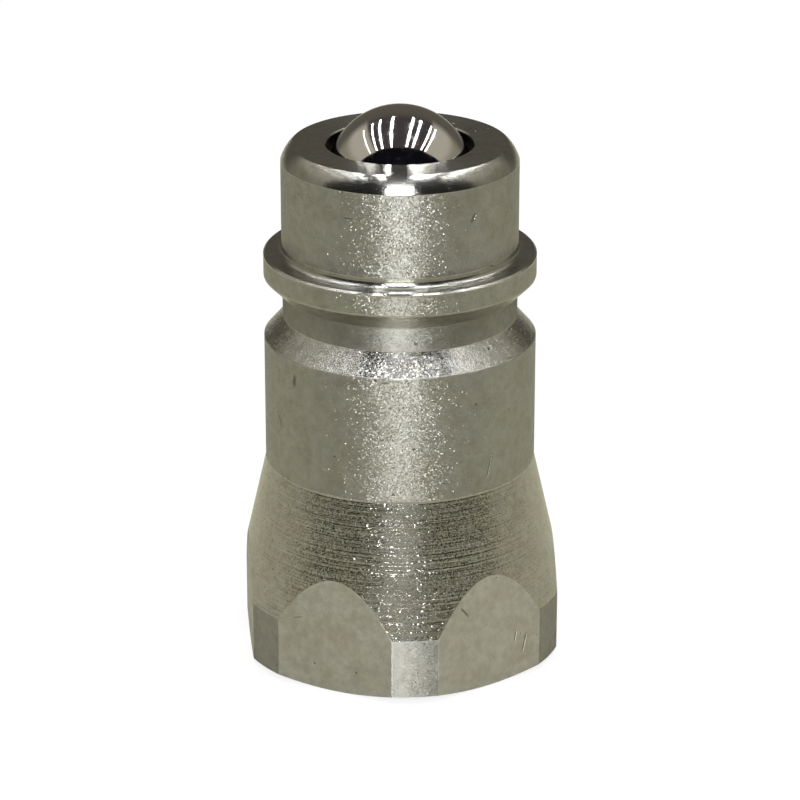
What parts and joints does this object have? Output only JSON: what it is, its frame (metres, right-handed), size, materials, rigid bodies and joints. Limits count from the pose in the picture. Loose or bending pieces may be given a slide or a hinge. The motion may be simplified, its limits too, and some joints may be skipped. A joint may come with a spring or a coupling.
{
  "type": "hydraulic quick coupling male tip with ball valve",
  "caption": "Male half of a push-to-connect hydraulic quick coupling: turned hexagon body, sealing nose with a sprung steel ball valve, locking ring and threaded pipe port.",
  "frame": {"origin": "centre of the hexagon's end face, on the coupling's axis", "axes": "+Z along the axis from the port to the nose; a hexagon corner faces -Y and two flats face +X and -X"},
  "size_m": [0.027, 0.029, 0.0493],
  "materials": {
    "body": "zinc-nickel plated turned steel, satin grey with an olive tint",
    "valve_ball": "polished bearing steel",
    "ball_cage": "turned steel, plated",
    "valve_spring": "drawn stainless spring wire",
    "snap_ring": "phosphated spring steel"
  },
  "bodies": {
    "housing": {"body": "body", "ball_cage": "ball_cage", "valve_spring": "valve_spring", "snap_ring": "snap_ring"},
    "ball": {"valve_ball": "valve_ball"}
  },
  "joints": [
    {"name": "ball_slide", "type": "slide", "parent": "housing", "child": "ball", "axis": [0, 0, -1], "range_m": [0, 0.005], "stiffness_N_per_m": 5000, "springref_m": -0.003, "deforming": ["valve_spring"]}
  ]
}
